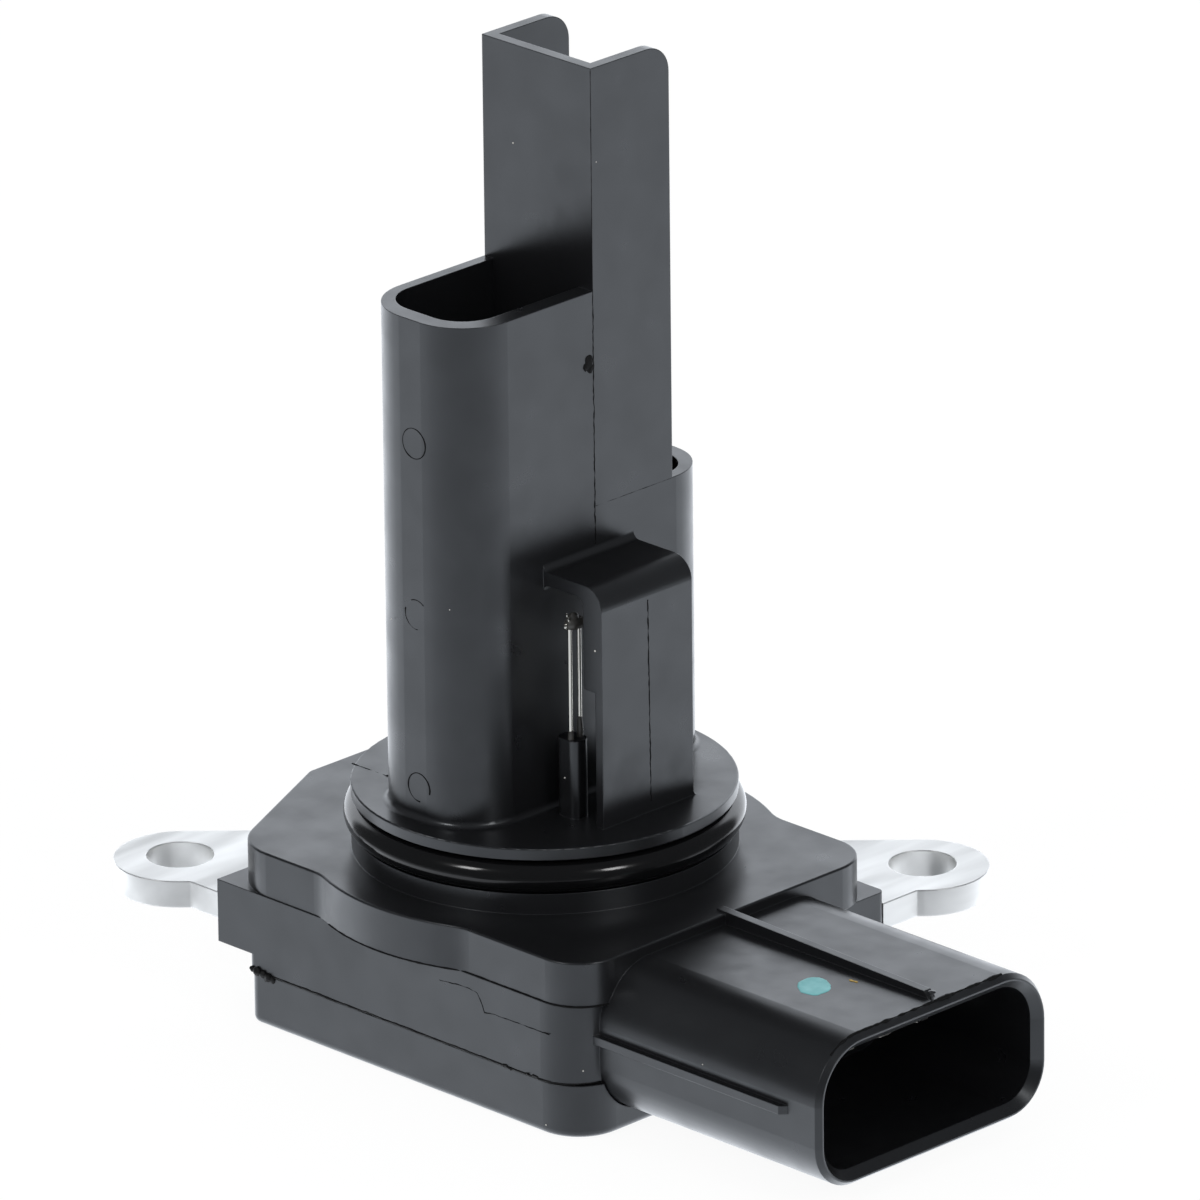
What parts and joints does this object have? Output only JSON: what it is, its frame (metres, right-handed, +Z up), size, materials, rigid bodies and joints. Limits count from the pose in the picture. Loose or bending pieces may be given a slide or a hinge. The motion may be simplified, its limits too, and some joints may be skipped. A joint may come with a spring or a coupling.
{
  "type": "mass airflow sensor",
  "caption": "Plug-in airflow sensor: black moulded body with an air channel probe, sealing ring, metal screw ears and a side connector shroud.",
  "frame": {"origin": "underside of the cover, on the axis of the round spigot", "axes": "+Z up the probe, away from the cover; +X out of the connector's mouth; the ears lie on a diagonal of X and Y"},
  "size_m": [0.0758, 0.0495, 0.0795],
  "materials": {
    "housing_plastic": "black glass-filled moulding, semi-matt",
    "cover_plastic": "black glass-filled moulding, semi-matt",
    "sealant": "black silicone line",
    "plate_metal": "bright, fine satin",
    "ring_rubber": "black, smooth, slightly glossy",
    "terminal_metal": "tin-plated, satin",
    "element_ceramic": "glazed white",
    "lead_wire": "plated wire, satin",
    "bead_resin": "black resin drop",
    "adhesive": "grey heat-conducting adhesive",
    "board_ceramic": "fired white alumina",
    "chip_resin": "black moulded resin",
    "capacitor_ceramic": "fired tan",
    "resistor_ceramic": "fired black film",
    "bond_wire": "bright drawn wire"
  },
  "bodies": {
    "root": {"housing": "housing_plastic", "cover": "cover_plastic", "cover_seal": "sealant", "mounting_plate": "plate_metal", "o_ring": "ring_rubber", "heater_element": "element_ceramic", "cold_element": "element_ceramic", "thermistor_lead_1": "lead_wire", "thermistor_lead_2": "lead_wire", "thermistor_bead": "bead_resin", "board_adhesive": "adhesive", "circuit_board": "board_ceramic", "control_chip": "chip_resin", "regulator_chip": "chip_resin", "capacitors": "capacitor_ceramic", "resistors": "resistor_ceramic", "connector_bonds": "bond_wire", "probe_bonds": "bond_wire", "connector_terminal_1": "terminal_metal", "connector_terminal_2": "terminal_metal", "connector_terminal_3": "terminal_metal", "connector_terminal_4": "terminal_metal", "connector_terminal_5": "terminal_metal", "heater_terminal_1": "terminal_metal", "heater_terminal_2": "terminal_metal", "cold_terminal_1": "terminal_metal", "cold_terminal_2": "terminal_metal", "thermistor_terminal_1": "terminal_metal", "thermistor_terminal_2": "terminal_metal"}
  },
  "joints": []
}
